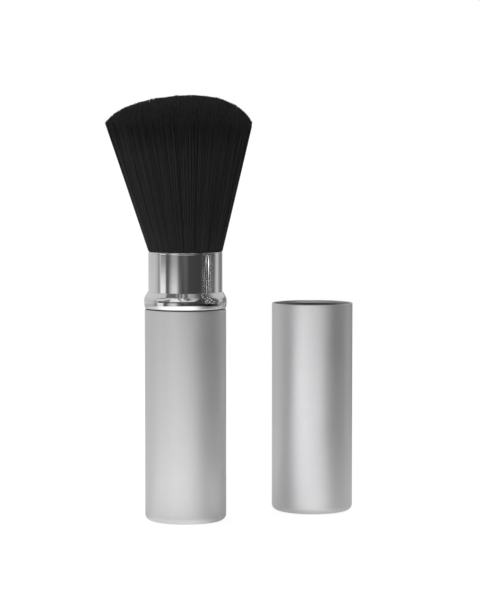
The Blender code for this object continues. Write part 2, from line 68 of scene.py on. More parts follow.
FLOOR_GLOW = 0.84
FLOOR_LIT_SHARE = 0.34
FLOOR_SHINE = 0.80
SOFT_LAMP = {
    "aim": (0.0, 0.0, 0.060), "side": -26.0, "rise": 26.0, "away": 0.75,
    "width": 0.50, "height": 0.50, "spread": 180.0, "power": 0.10,
}
CAP_LAMP = {
    "aim": (0.0350, 0.0165, 0.030), "rise": 3.0, "away": 0.30,
    "width": 0.018, "height": 0.062, "spread": 2.0,
}
CAP_LAMP_POWER_BY_SIDE = {-32.0: 0.00024, 20.0: 0.00026}

# Grey levels by direction from the camera, left first: at the horizon, just under it, in the
# surround above it, and of the painted light that the floor gives off near the brush
AT_HORIZON = (
    (-180, 0.60), (-110, 0.60), (-97, 0.50), (-88, 0.30), (-83, 0.58), (-79, 0.18), (-64, 0.16),
    (-56, 0.10), (-46, 0.10), (-40, 0.26), (-26, 0.24), (-17, 0.08), (2, 0.14), (13, 0.06),
    (47, 0.05), (103, 0.12), (112, 0.52), (119, 0.64), (129, 0.33), (138, 0.22), (152, 0.22),
    (166, 0.55), (180, 0.60),
)
UNDER_HORIZON = (
    (-180, 0.64), (-110, 0.64), (-97, 0.53), (-90, 0.30), (-85, 0.45), (-80, 1.10), (-65, 1.05),
    (-60, 0.12), (-53, 0.14), (-46, 0.55), (-37, 0.82), (-27, 0.80), (-18, 0.20), (-8, 0.07),
    (2, 0.11), (13, 0.06), (47, 0.05), (101, 0.14), (107, 0.42), (117, 0.68), (129, 0.38),
    (138, 0.22), (152, 0.24), (166, 0.60), (180, 0.64),
)
SURROUND = (
    (-180, 0.72), (-110, 0.66), (-70, 0.70), (-44, 0.66), (-4, 0.64), (14, 0.74), (28, 0.56),
    (46, 0.18), (92, 0.18), (110, 0.56), (180, 0.72),
)
NEAR_FLOOR_GLOW = (
    (-180, 0.56), (-98, 0.60), (-84, 0.90), (-73, 1.20), (-50, 1.25), (-30, 1.30), (10, 1.45),
    (34, 1.10), (50, 0.60), (94, 0.46), (106, 0.46), (180, 0.50),
)
PLAIN_LEVEL = 0.60
OVERHEAD_LEVEL = 0.40
OVERHEAD_DARK_LEVEL = 0.04
OVERHEAD_EDGE = (35.0, 65.0)
WINDOW_SIDE = -24.0
WINDOW_RISE = 22.0
WINDOW_HALF_WIDTH = 34.0
WINDOW_HALF_HEIGHT = 24.0
WINDOW_LEVEL = 0.90
DARK_SIDE = 68.0
DARK_HALF_WIDTH = 46.0
DARK_HALF_HEIGHT = 46.0
STRIP_HALF_HEIGHT = 11.0
STRIP_EDGE_SHARES = (1.15, 0.85)
UNDER_EDGE = (-2.3, -3.4)
LOOP_CELL = (36.0, 52.0)
LOOP_EDGE = (0.070, 0.030)
LOOPS_RIGHT_END = (30.0, 10.0)
LOOPS_LEFT_END = (-105.0, -85.0)
LOOPS_LOWER_END = (8.0, 18.0)
LOOP_LEVEL = 0.16
SQUIGGLE_CELL = (4.0, 0.35)
SPECK_CELL = (7.0, 3.0)
SQUIGGLE_EDGE = (0.64, 0.68)
SQUIGGLES_UNDER = 3.0
SQUIGGLES_BAND_EDGE = (1.2, 1.0)
SQUIGGLE_SIDE = 76.0
SQUIGGLE_HALF_WIDTH = 30.0
SQUIGGLE_LEVEL = 2.8

# Distances on the floor from the brush, for the painted shade at its foot and the edges of its
# painted glow, and a painted pool of light on the floor in front of the cap
FOOT_SHADE_EDGE = (0.018, 0.034)
FOOT_SHADE_SHARE = 0.60
DARK_FLOOR_EDGE = (0.08, 0.14)
FAR_FLOOR_EDGE = (0.18, 0.30)
LIGHT_POOL_AT = (0.038, -0.010, 0.0)
LIGHT_POOL_REACH = 0.020
LIGHT_POOL_LEVEL = 1.3


def add_node(tree, kind, values=None, links=None, **settings):
    """A node with its settings, the values of its sockets, and the sockets that feed it."""
    node = tree.nodes.new(kind)
    for name, value in settings.items():
        setattr(node, name, value)
    for name, value in (values or {}).items():
        node.inputs[name].default_value = value
    for name, source in (links or {}).items():
        tree.links.new(source, node.inputs[name])
    return node


def work_out(tree, operation, *terms):
    """The result of one Math node. Each term is a number or a socket."""
    node = add_node(tree, "ShaderNodeMath", operation=operation)
    for place, term in enumerate(terms):
        if isinstance(term, (int, float)):
            node.inputs[place].default_value = term
        else:
            tree.links.new(term, node.inputs[place])
    return node.outputs[0]


def grey_ramp(tree, stops, factor):
    """A ramp through grey levels, given as pairs of position and level."""
    node = tree.nodes.new("ShaderNodeValToRGB")
    elements = node.color_ramp.elements
    elements.remove(elements[1])
    elements[0].position = stops[0][0]
    elements[0].color = (*[stops[0][1]] * 3, 1.0)
    for position, level in stops[1:]:
        elements.new(position).color = (level, level, level, 1.0)
    tree.links.new(factor, node.inputs["Fac"])
    return node.outputs["Color"]


def smooth_step(tree, value, start, end):
    """0 to 1 as the value goes from start to end, or 1 to 0 where start is the greater."""
    low, high = min(start, end), max(start, end)
    sides = {"To Min": 0.0, "To Max": 1.0} if start < end else {"To Min": 1.0, "To Max": 0.0}
    return add_node(
        tree,
        "ShaderNodeMapRange",
        {"From Min": low, "From Max": high, **sides},
        {"Value": value},
        interpolation_type="SMOOTHSTEP",
    ).outputs["Result"]


def bearing(tree, vector):
    """The direction of a vector round the upright axis, in degrees from the camera's side."""
    split = add_node(tree, "ShaderNodeSeparateXYZ", links={"Vector": vector})
    towards = work_out(tree, "MULTIPLY", split.outputs["Y"], -1.0)
    turn = work_out(tree, "ARCTAN2", split.outputs["X"], towards)
    return work_out(tree, "MULTIPLY", turn, 180 / math.pi), split.outputs["Z"]


def about(tree, degrees, centre, half_width):
    """A smooth hump: 1 at the centre, and 0 beyond its half width."""
    off = work_out(tree, "ABSOLUTE", work_out(tree, "SUBTRACT", degrees, centre))
    return smooth_step(tree, off, half_width, 0.0)


def levels_by(tree, stops, degrees):
    """The grey level of a direction, from stops in degrees."""
    places = [(place / 360 + 0.5, level) for place, level in stops]
    return grey_ramp(tree, places, work_out(tree, "MULTIPLY_ADD", degrees, 1 / 360, 0.5))


def noise(tree, place, scale, detail):
    """Noise at a place. Its scale is a number or a socket."""
    node = add_node(tree, "ShaderNodeTexNoise", {"Detail": detail}, {"Vector": place})
    if isinstance(scale, float):
        node.inputs["Scale"].default_value = scale
    else:
        tree.links.new(scale, node.inputs["Scale"])
    return node.outputs["Fac"]


def streaks(tree, turn, rise, across, up):
    """Noise drawn out to cells of across by up degrees."""
    turns = work_out(tree, "MULTIPLY", turn, 1 / across)
    rises = work_out(tree, "MULTIPLY", rise, 1 / up)
    place = add_node(tree, "ShaderNodeCombineXYZ", links={"X": turns, "Y": rises})
    return noise(tree, place.outputs["Vector"], scale=1.0, detail=1.0)


def mixed(tree, share, first, second):
    """first where the share is 0, second where it is 1. Either is a colour or a socket."""
    node = add_node(tree, "ShaderNodeMix", data_type="RGBA")
    tree.links.new(share, node.inputs[0])
    for place, side in ((6, first), (7, second)):
        if isinstance(side, tuple):
            node.inputs[place].default_value = (*side, 1.0)
        else:
            tree.links.new(side, node.inputs[place])
    return node.outputs[2]


def dark_loops(tree, turn, rise):
    """The share of thin dark loops at the left: where noise in large cells is close to 0.5."""
    off = work_out(tree, "SUBTRACT", streaks(tree, turn, rise, *LOOP_CELL), 0.5)
    share = smooth_step(tree, work_out(tree, "ABSOLUTE", off), *LOOP_EDGE)
    for angle, edge in ((turn, LOOPS_RIGHT_END), (turn, LOOPS_LEFT_END), (rise, LOOPS_LOWER_END)):
        share = work_out(tree, "MULTIPLY", share, smooth_step(tree, angle, *edge))
    return share


def bright_squiggles(tree, turn, rise):
    """The share of bright marks at the right: where noise is above an edge, in fine cells on a
    band under the horizon and in broad ones away from it."""
    fine = smooth_step(tree, streaks(tree, turn, rise, *SQUIGGLE_CELL), *SQUIGGLE_EDGE)
    broad = smooth_step(tree, streaks(tree, turn, rise, *SPECK_CELL), *SQUIGGLE_EDGE)
    off = work_out(tree, "ABSOLUTE", work_out(tree, "ADD", rise, SQUIGGLES_UNDER))
    marks = mixed(tree, smooth_step(tree, off, *SQUIGGLES_BAND_EDGE), broad, fine)
    return work_out(tree, "MULTIPLY", marks, about(tree, turn, SQUIGGLE_SIDE, SQUIGGLE_HALF_WIDTH))


def light_surround():
    """The world. Its level is the surround's by direction, blended overhead into one level that
    is darker at the dark side, with a pale window and dark loops at the left. Within
    h(direction) = strip + dark * hump of the horizon it is the horizon's own levels instead,
    with bright squiggles in the dark. Only what the metal mirrors has this pattern."""
    world = bpy.data.worlds.new("studio")
    bpy.context.scene.world = world
    world.use_nodes = True
    tree = world.node_tree
    tree.nodes.clear()
    turn, height = bearing(tree, add_node(tree, "ShaderNodeTexCoord").outputs["Generated"])
    rise = work_out(tree, "MULTIPLY", work_out(tree, "ARCSINE", height), 180 / math.pi)
    dark = about(tree, turn, DARK_SIDE, DARK_HALF_WIDTH)

    overhead = mixed(tree, dark, (OVERHEAD_LEVEL,) * 3, (OVERHEAD_DARK_LEVEL,) * 3)
    overhead_share = smooth_step(tree, rise, *OVERHEAD_EDGE)
    above = mixed(tree, overhead_share, levels_by(tree, SURROUND, turn), overhead)
    window_across = about(tree, turn, WINDOW_SIDE, WINDOW_HALF_WIDTH)
    window_up = about(tree, rise, WINDOW_RISE, WINDOW_HALF_HEIGHT)
    window = work_out(tree, "MULTIPLY", window_across, window_up)
    above = mixed(tree, window, above, (WINDOW_LEVEL,) * 3)
    above = mixed(tree, dark_loops(tree, turn, rise), above, (LOOP_LEVEL,) * 3)

    lower = smooth_step(tree, rise, *UNDER_EDGE)
    at_horizon = levels_by(tree, AT_HORIZON, turn)
    level = mixed(tree, lower, at_horizon, levels_by(tree, UNDER_HORIZON, turn))
    level = mixed(tree, bright_squiggles(tree, turn, rise), level, (SQUIGGLE_LEVEL,) * 3)
    half_height = work_out(tree, "MULTIPLY_ADD", dark, DARK_HALF_HEIGHT, STRIP_HALF_HEIGHT)
    from_horizon = work_out(tree, "DIVIDE", work_out(tree, "ABSOLUTE", rise), half_height)
    level = mixed(tree, smooth_step(tree, from_horizon, *STRIP_EDGE_SHARES), above, level)

    paths = add_node(tree, "ShaderNodeLightPath").outputs
    mirrored = work_out(tree, "MAXIMUM", paths["Is Glossy Ray"], paths["Is Transmission Ray"])
    seen = mixed(tree, mirrored, (1.0,) * 3, level)
    shown = work_out(tree, "MAXIMUM", paths["Is Camera Ray"], mirrored)
    colour = mixed(tree, shown, (PLAIN_LEVEL,) * 3, seen)
    studio = add_node(tree, "ShaderNodeBackground", {"Strength": 1.0}, {"Color": colour})
    add_node(tree, "ShaderNodeOutputWorld", links={"Surface": studio.outputs[0]})


def new_mesh(name, points, faces, smooth=True):
    """A mesh object from an array of points and lists of faces, in the scene."""
    mesh = bpy.data.meshes.new(name)
    mesh.from_pydata(points, [], faces)
    mesh.polygons.foreach_set("use_smooth", np.full(len(mesh.polygons), smooth))
    thing = bpy.data.objects.new(name, mesh)
    bpy.context.scene.collection.objects.link(thing)
    return thing


def turn_profile(profile, steps, centre=(0.0, 0.0)):
    """Points and faces of a turned piece: (r(v) cos u, r(v) sin u, z(v)) about the centre.

    The profile runs down the outer side. A row on the axis is one point, so the pole is
    closed, and a profile that doesn't end on the axis joins its own start."""
    rows = []
    points = []
    u = np.arange(steps) * math.tau / steps
    for r, z in profile:
        if r < ON_AXIS:
            rows.append(np.full(steps, len(points)))
            points.append((centre[0], centre[1], z))
        else:
            rows.append(len(points) + np.arange(steps))
            x, y = centre[0] + r * np.cos(u), centre[1] + r * np.sin(u)
            points.extend(np.stack([x, y, np.full(steps, z)], 1).tolist())
    if profile[0][0] > ON_AXIS:
        rows.append(rows[0])
    faces = []
    for above, below in zip(rows[:-1], rows[1:]):
        quads = np.stack([above, below, np.roll(below, -1), np.roll(above, -1)], 1)
        if above[0] == above[1]:
            quads = quads[:, :3]
        elif below[0] == below[1]:
            quads = quads[:, [0, 1, 3]]
        faces.extend(quads.tolist())
    return points, faces


def lay_floor():
    """A disc of rings at z = -drop. To the camera it is white, less a share of the light that
    its shadow keeps off. To the metal it is a sheet of paper that glows with painted light,
    brightest in front at the left, with painted shade at the brush's foot and a painted pool
    of light in front of the cap. Far away the glow takes the surround's own levels, and at the
    right it goes dark."""
    reach = [(FLOOR_RADIUS * share, -FLOOR_DROP) for share in np.linspace(0, 1, FLOOR_RINGS)]
    points, faces = turn_profile([*reach, (0.0, -2 * FLOOR_DROP)], FLOOR_STEPS)
    floor = new_mesh("floor", points, faces, smooth=False)
    material = bpy.data.materials.new("pale_floor")
    material.use_nodes = True
    tree = material.node_tree
    tree.nodes.clear()
    place = add_node(tree, "ShaderNodeTexCoord").outputs["Object"]
    turn, _ = bearing(tree, place)
    reached = add_node(tree, "ShaderNodeVectorMath", links={0: place}, operation="LENGTH")
    away = reached.outputs["Value"]
    # The floor's painted glow is taken away at the dark side, away from the brush
    at_dark_side = about(tree, turn, DARK_SIDE, DARK_HALF_WIDTH)
    dark = work_out(tree, "MULTIPLY", at_dark_side, smooth_step(tree, away, *DARK_FLOOR_EDGE))
    far = smooth_step(tree, away, *FAR_FLOOR_EDGE)
    # Painted shade: the floor's glow is dimmer close to the brush's foot
    foot = smooth_step(tree, away, *FOOT_SHADE_EDGE)
    foot = work_out(tree, "MULTIPLY_ADD", foot, 1 - FOOT_SHADE_SHARE, FOOT_SHADE_SHARE)
    near = mixed(tree, foot, (0.0,) * 3, levels_by(tree, NEAR_FLOOR_GLOW, turn))
    # Painted pool of light: the floor glows brighter in front of the cap
    to_pool = add_node(tree, "ShaderNodeVectorMath", {1: LIGHT_POOL_AT}, {0: place}, operation="DISTANCE")
    light_pool = smooth_step(tree, to_pool.outputs["Value"], LIGHT_POOL_REACH, 0.0)
    near = mixed(tree, light_pool, near, (LIGHT_POOL_LEVEL,) * 3)
    light = mixed(tree, far, near, levels_by(tree, UNDER_HORIZON, turn))
    light = mixed(tree, dark, light, (0.0,) * 3)
    paper_colour = mixed(tree, far, FLOOR_COLOUR, (0.0,) * 3)
    paper = add_node(tree, "ShaderNodeBsdfDiffuse", links={"Color": paper_colour})
    # Painted light: to every ray but the camera's, the floor glows with these levels
    shine = add_node(tree, "ShaderNodeEmission", {"Strength": FLOOR_SHINE}, {"Color": light})
    lit = add_node(tree, "ShaderNodeBsdfDiffuse", {"Color": (*[FLOOR_LIT_SHARE] * 3, 1.0)})
    glow = add_node(tree, "ShaderNodeEmission", {"Strength": FLOOR_GLOW})
    paths = add_node(tree, "ShaderNodeLightPath")
    choice = add_node(tree, "ShaderNodeMixShader", links={"Fac": paths.outputs["Is Camera Ray"]})
    for side, parts in ((1, (paper, shine)), (2, (lit, glow))):
        both = add_node(tree, "ShaderNodeAddShader")
        tree.links.new(parts[0].outputs[0], both.inputs[0])
        tree.links.new(parts[1].outputs[0], both.inputs[1])
        tree.links.new(both.outputs[0], choice.inputs[side])
    add_node(tree, "ShaderNodeOutputMaterial", links={"Surface": choice.outputs[0]})
    floor.data.materials.append(material)


def hang_lamp(name, aim, side, rise, away, width, height, spread, power):
    """A lamp at aim + away * (cos rise sin side, -cos rise cos side, sin rise), facing the aim."""
    data = bpy.data.lights.new(name, "AREA")
    data.shape = "RECTANGLE"
    data.size = width
    data.size_y = height
    data.spread = math.radians(spread)
    data.energy = power
    lamp = bpy.data.objects.new(name, data)
    bpy.context.scene.collection.objects.link(lamp)
    side, rise = math.radians(side), math.radians(rise)
    lamp.location = (
        aim[0] + away * math.cos(rise) * math.sin(side),
        aim[1] - away * math.cos(rise) * math.cos(side),
        aim[2] + away * math.sin(rise),
    )
    lamp.rotation_euler = (math.pi / 2 - rise, 0.0, side)


light_surround()
lay_floor()
hang_lamp("soft_lamp", **SOFT_LAMP)
for side, power in CAP_LAMP_POWER_BY_SIDE.items():
    hang_lamp("cap_lamp", side=side, power=power, **CAP_LAMP)

# Camera, where the photograph was taken from
CAMERA_AT = (14.91 * MM, -600.63 * MM, 98.07 * MM)
CAMERA_DIP = 0.0626
SENSOR_HEIGHT = 36.0
FOCAL_PIXELS = 2200
FRAME_PIXELS = 600
camera_data = bpy.data.cameras.new("camera")
camera_data.sensor_fit = "VERTICAL"
camera_data.sensor_height = SENSOR_HEIGHT
camera_data.lens = SENSOR_HEIGHT * FOCAL_PIXELS / FRAME_PIXELS
camera = bpy.data.objects.new("camera", camera_data)
bpy.context.scene.collection.objects.link(camera)
camera.location = CAMERA_AT
camera.rotation_euler = (math.pi / 2 - CAMERA_DIP, 0.0, 0.0)
bpy.context.scene.camera = camera
bpy.context.scene.view_settings.view_transform = "Standard"


# Handle can. The part that is held: aluminium sheet deep-drawn to a can with a round foot,
# blasted with fine beads and clear anodised, so it is satin and softly grained.
HANDLE_WALL = 0.40 * MM
HANDLE_FLOOR = 0.80 * MM
CAN_CORNER = 1.60 * MM
CAN_STEPS = 224
CORNER_PIECES = 10
INNER_CORNER_PIECES = 6
MOUTH_PIECES = 8
EDGE_GUARD = 0.1 * MM
SATIN_LIGHT = (0.81, 0.81, 0.815)
SATIN_DARK = (0.71, 0.71, 0.72)
GRAIN_HEIGHT = 0.02 * MM
COARSE_SCALE_SHARE = 0.23
COARSE_SHARE = 0.4
MASK_SHARE = 0.71
PATCH_SCALE = 90.0
WIPE_SCALE = 900.0
WIPE_TURN = (0.5, 0.3, 0.2)
WIPE_STRETCH = (1.0, 1.0, 0.12)
WIPE_SHARE = 0.35
MARKS_FROM = 0.50
MARKS_TO = 0.85


def guarded(start, end):
    """The points of a long straight run, with a row close to each end, so that smooth shading
    stays true along it."""
    (r0, z0), (r1, z1) = start, end
    share = EDGE_GUARD / math.hypot(r1 - r0, z1 - z0)
    return [(r0 + (r1 - r0) * s, z0 + (z1 - z0) * s) for s in (0.0, share, 0.5, 1.0 - share, 1.0)]


def bend(centre, reach, rise, start, end, pieces):
    """Points of an oval arc: centre + (reach cos a, rise sin a), a from start to end in degrees."""
    angles = np.radians(np.linspace(start, end, pieces + 1))
    return [(centre[0] + reach * math.cos(a), centre[1] + rise * math.sin(a)) for a in angles]


def can_profile(bottom, top, radius, wall, floor, corner):
    """A drawn can: inside floor, inner corner, bore, rolled mouth, outside, corner, foot."""
    bore = radius - wall
    inner = corner - wall
    lip = (bore + wall / 2, top - wall / 2)
    return [
        *guarded((0.0, bottom + floor), (bore - inner, bottom + floor))[:-1],
        *bend((bore - inner, bottom + floor + inner), inner, inner, -90, 0, INNER_CORNER_PIECES)[:-1],
        *guarded((bore, bottom + floor + inner), (bore, lip[1]))[:-1],
        *bend(lip, wall / 2, wall / 2, 180, 0, MOUTH_PIECES)[:-1],
        *guarded((radius, lip[1]), (radius, bottom + corner))[:-1],
        *bend((radius - corner, bottom + corner), corner, corner, 0, -90, CORNER_PIECES)[:-1],
        *guarded((radius - corner, bottom), (0.0, bottom)),
    ]


def make_group(name, inputs, outputs):
    """A shader node group with float or vector sockets, and its two end nodes."""
    kinds = {"value": "NodeSocketFloat", "vector": "NodeSocketVector"}
    tree = bpy.data.node_groups.new(name, "ShaderNodeTree")
    for socket, kind in inputs:
        tree.interface.new_socket(name=socket, in_out="INPUT", socket_type=kinds[kind])
    for socket, kind in outputs:
        tree.interface.new_socket(name=socket, in_out="OUTPUT", socket_type=kinds[kind])
    return tree, tree.nodes.new("NodeGroupInput").outputs, tree.nodes.new("NodeGroupOutput").inputs


def fine_grain_group():
    """Fine grain: two sizes of noise, as a bump and as a mask for colour and roughness."""
    tree, given, put = make_group(
        "fine_grain",
        [("Place", "vector"), ("Scale", "value"), ("Depth", "value")],
        [("Mask", "value"), ("Normal", "vector")],
    )
    fine = noise(tree, given["Place"], given["Scale"], detail=2.0)
    coarse_scale = work_out(tree, "MULTIPLY", given["Scale"], COARSE_SCALE_SHARE)
    coarse = noise(tree, given["Place"], coarse_scale, detail=3.0)
    both = work_out(tree, "MULTIPLY_ADD", coarse, COARSE_SHARE, fine)
    sides = {"Strength": given["Depth"], "Height": both}
    bump = add_node(tree, "ShaderNodeBump", {"Distance": GRAIN_HEIGHT}, sides)
    tree.links.new(work_out(tree, "MULTIPLY", both, MASK_SHARE), put["Mask"])
    tree.links.new(bump.outputs["Normal"], put["Normal"])
    return tree


def handled_group():
    """Handling: soft patches and faint wipe marks, as a roughness between two values."""
    tree, given, put = make_group(
        "handling",
        [("Place", "vector"), ("Clean", "value"), ("Handled", "value")],
        [("Roughness", "value")],
    )
    patches = noise(tree, given["Place"], PATCH_SCALE, detail=3.0)
    stretch = {"Rotation": WIPE_TURN, "Scale": WIPE_STRETCH}
    drawn = add_node(tree, "ShaderNodeMapping", stretch, {"Vector": given["Place"]})
    wipes = noise(tree, drawn.outputs["Vector"], WIPE_SCALE, detail=2.0)
    marks = work_out(tree, "MULTIPLY_ADD", wipes, WIPE_SHARE, patches)
    ends = {"From Min": MARKS_FROM, "From Max": MARKS_TO}
    share = add_node(tree, "ShaderNodeMapRange", ends, {"Value": marks}).outputs["Result"]
    span = work_out(tree, "SUBTRACT", given["Handled"], given["Clean"])
    tree.links.new(work_out(tree, "MULTIPLY_ADD", span, share, given["Clean"]), put["Roughness"])
    return tree


fine_grain = fine_grain_group()
handling = handled_group()


def new_finish(name):
    """A material with its Principled shader, tree and the place on the object."""
    material = bpy.data.materials.new(name)
    material.use_nodes = True
    tree = material.node_tree
    place = add_node(tree, "ShaderNodeTexCoord").outputs["Object"]
    return material, tree, tree.nodes["Principled BSDF"], place


def vary(tree, shader, colour, roughness, normal=None):
    """Feeds the shader with what changes over the surface."""
    for name, source in (("Base Color", colour), ("Roughness", roughness), ("Normal", normal)):
        if source is not None:
            tree.links.new(source, shader.inputs[name])


def place_group(tree, group, place, **values):
    """A copy of a shared group, fed with the place and its own values."""
    node = tree.nodes.new("ShaderNodeGroup")
    node.node_tree = group
    tree.links.new(place, node.inputs["Place"])
    for name, value in values.items():
        node.inputs[name].default_value = value
    return node.outputs


def blasted_aluminium():
    """Satin aluminium: a fine blasted grain that shifts colour, roughness and bump a little."""
    material, tree, shader, place = new_finish("matt_aluminium")
    shader.inputs["Metallic"].default_value = 1.0
    grain = place_group(tree, fine_grain, place, Scale=5200.0, Depth=0.30)
    worn = place_group(tree, handling, place, Clean=0.45, Handled=0.51)
    colour = mixed(tree, grain["Mask"], SATIN_DARK, SATIN_LIGHT)
    vary(tree, shader, colour, worn["Roughness"], grain["Normal"])
    return material


def extent(node):
    """The lowest and highest level, the radius and the middle of a turned node."""
    low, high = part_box(node)
    return low.z, high.z, (high.x - low.x) / 2, ((low.x + high.x) / 2, (low.y + high.y) / 2)


satin = blasted_aluminium()
bottom, top, radius, middle = extent("handle_shell")
profile = can_profile(bottom, top, radius, HANDLE_WALL, HANDLE_FLOOR, CAN_CORNER)
handle_can = new_mesh("handle_can", *turn_profile(profile, CAN_STEPS, middle))
handle_can.data.materials.append(satin)
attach(handle_can, "handle")
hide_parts("handle_shell")


# Foot of the brush. A moulded plug glued into the closed end of the can carries the ribbed
# stem, and a plated screw through the plug holds it. All of it is hidden in the can.
WHITE_LIGHT = (0.80, 0.80, 0.78)
WHITE_DARK = (0.72, 0.72, 0.70)
BLACK_LIGHT = (0.034, 0.034, 0.035)
BLACK_DARK = (0.024, 0.024, 0.025)
ZINC_LIGHT = (0.70, 0.70, 0.70)
ZINC_DARK = (0.52, 0.53, 0.56)


def moulding(name, light, dark):
    """Moulded plastic: a spark-eroded grain, and patches left by handling."""
    material, tree, shader, place = new_finish(name)
    shader.inputs["Specular IOR Level"].default_value = 0.45
    grain = place_group(tree, fine_grain, place, Scale=2600.0, Depth=0.25)
    worn = place_group(tree, handling, place, Clean=0.42, Handled=0.52)
    vary(tree, shader, mixed(tree, grain["Mask"], dark, light), worn["Roughness"], grain["Normal"])
    return material


def plated_steel():
    """Zinc plate: cloudy colour and roughness over a bright metal."""
    material, tree, shader, place = new_finish("zinc_steel")
    shader.inputs["Metallic"].default_value = 1.0
    clouds = noise(tree, place, scale=900.0, detail=4.0)
    colour = mixed(tree, clouds, ZINC_DARK, ZINC_LIGHT)
    worn = place_group(tree, handling, place, Clean=0.22, Handled=0.38)
    vary(tree, shader, colour, worn["Roughness"])
    return material


def refinish(node, material):
    """Gives a CAD node its finish."""
    slots = nodes[node].material_slots
    for slot in slots:
        slot.material = material
    if not slots:
        nodes[node].data.materials.append(material)


white_moulding = moulding("white_plastic", WHITE_LIGHT, WHITE_DARK)
black_moulding = moulding("black_plastic", BLACK_LIGHT, BLACK_DARK)
refinish("base_plug", white_moulding)
refinish("brush_stem", white_moulding)
refinish("stem_screw", plated_steel())


# Bush and bead collar. The bush is moulded and glued into the can's mouth, and guides the
# sleeve. The bead is stamped from thin sheet, crimped over the bush's head, and chromed.
BEAD_WALL = 0.30 * MM
BEAD_RISE = 2.60 * MM
BEAD_BELLY = 2.00 * MM
BEAD_BELLY_ANGLE = 50.0
BEAD_DROP = 1.92 * MM
BEAD_TUCK = 0.45 * MM
BEAD_BORE = 10.325 * MM
BEAD_FOOT_ANGLE = -75.0
SHOULDER_INSET_SHARE = 2.0
BELLY_PIECES = 28
TUCK_PIECES = 22
INNER_BELLY_PIECES = 14
INNER_TUCK_PIECES = 12
RING_STEPS = 256
CHROME_LIGHT = (0.84, 0.84, 0.845)
CHROME_DARK = (0.76, 0.76, 0.77)
CHROME_WAVES = 0.05 * MM


def mirror_chrome():
    """Chrome: mirror bright, with faint smudges and a very slight waviness of the sheet."""
    material, tree, shader, place = new_finish("chrome")
    shader.inputs["Metallic"].default_value = 1.0
    worn = place_group(tree, handling, place, Clean=0.025, Handled=0.07)
    clouds = noise(tree, place, scale=120.0, detail=2.0)
    colour = mixed(tree, clouds, CHROME_DARK, CHROME_LIGHT)
    waves = {"Strength": 0.10, "Distance": CHROME_WAVES}
    bump = add_node(tree, "ShaderNodeBump", waves, {"Height": clouds})
    vary(tree, shader, colour, worn["Roughness"], bump.outputs["Normal"])
    return material


def bead_line(top, radius, inset, belly_pieces, tuck_pieces):
    """The bead's outline, or one inset from it, from the bore down to the foot.

    It is a straight shoulder, then an oval arc about (bore, level) for the belly, then one
    about (radius - tuck, level), where the level is that of the widest point."""
    level = top - BEAD_RISE
    start = (BEAD_BORE, top - SHOULDER_INSET_SHARE * inset)
    bulge = radius - BEAD_BORE - inset
    belly = bend((BEAD_BORE, level), bulge, BEAD_BELLY - inset, BEAD_BELLY_ANGLE, 0, belly_pieces)
    tuck_centre = (radius - BEAD_TUCK, level)
    tuck = bend(tuck_centre, BEAD_TUCK - inset, BEAD_DROP - inset, 0, BEAD_FOOT_ANGLE, tuck_pieces)
    return guarded(start, belly[0])[:-1] + belly + tuck[1:]


chrome = mirror_chrome()
bottom, top, radius, middle = extent("bead_collar")
outside = bead_line(top, radius, 0.0, BELLY_PIECES, TUCK_PIECES)
inside = bead_line(top, radius, BEAD_WALL, INNER_BELLY_PIECES, INNER_TUCK_PIECES)
profile = outside + inside[::-1]
bead_ring = new_mesh("bead_ring", *turn_profile(profile, RING_STEPS, middle))
bead_ring.data.materials.append(chrome)
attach(bead_ring, "handle")
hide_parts("bead_collar")
refinish("guide_bush", black_moulding)


# Sliding sleeve. A thin drawn tube, chromed and polished, with a rolled lip and a fine line
# under it. A crimp near its lower end holds it on its foot.
SLEEVE_WALL = 0.40 * MM
LIP_LINE_BELOW = 0.55 * MM
LIP_LINE_WIDTH = 0.28 * MM
LIP_LINE_DEPTH = 0.015 * MM
CRIMP_ABOVE = 1.30 * MM
CRIMP_WIDTH = 0.80 * MM
CRIMP_DEPTH = 0.15 * MM
ROLL_PIECES = 14
GROOVE_PIECES = 8


def pressed_line(wall_radius, level, depth, width):
    """A shallow groove from top to bottom: r = wall - depth * (1 + cos(pi s)) / 2, |s| <= 1."""
    s = np.linspace(-1, 1, GROOVE_PIECES + 1)
    dip = depth * (1 + np.cos(math.pi * s)) / 2
    return list(zip((wall_radius - dip).tolist(), (level - s * width / 2).tolist()))


bottom, top, radius, middle = extent("chrome_sleeve")
bore = radius - SLEEVE_WALL
half = SLEEVE_WALL / 2
line = pressed_line(radius, top - LIP_LINE_BELOW, LIP_LINE_DEPTH, LIP_LINE_WIDTH)
outer_crimp = pressed_line(radius, bottom + CRIMP_ABOVE, CRIMP_DEPTH, CRIMP_WIDTH)
inner_crimp = pressed_line(bore, bottom + CRIMP_ABOVE, CRIMP_DEPTH, CRIMP_WIDTH)[::-1]
profile = [
    *bend((bore + half, top - half), half, half, 180, 0, ROLL_PIECES),
    *line,
    *guarded(line[-1], outer_crimp[0])[1:-1],
    *outer_crimp,
    *guarded(outer_crimp[-1], (radius, bottom))[1:],
    (bore, bottom),
    *inner_crimp,
    *guarded(inner_crimp[-1], (bore, top - half))[1:-1],
]
sliding_sleeve = new_mesh("sliding_sleeve", *turn_profile(profile, RING_STEPS, middle))
sliding_sleeve.data.materials.append(chrome)
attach(sliding_sleeve, "sleeve")
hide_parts("chrome_sleeve")


# Slider foot and brake ring. The foot is moulded and pressed into the sleeve's lower end. An
# O-ring in its groove rubs in the can and holds the sleeve where it is put.
RUBBER_LIGHT = (0.032, 0.032, 0.031)
RUBBER_DARK = (0.014, 0.014, 0.014)


def soft_rubber():
    """Rubber: matt black with a dusty bloom."""
    material, tree, shader, place = new_finish("rubber")
    bloom = noise(tree, place, scale=700.0, detail=4.0)
    colour = mixed(tree, bloom, RUBBER_DARK, RUBBER_LIGHT)
    worn = place_group(tree, handling, place, Clean=0.70, Handled=0.82)
    vary(tree, shader, colour, worn["Roughness"])
    return material


refinish("slider_foot", black_moulding)
refinish("brake_ring", soft_rubber())


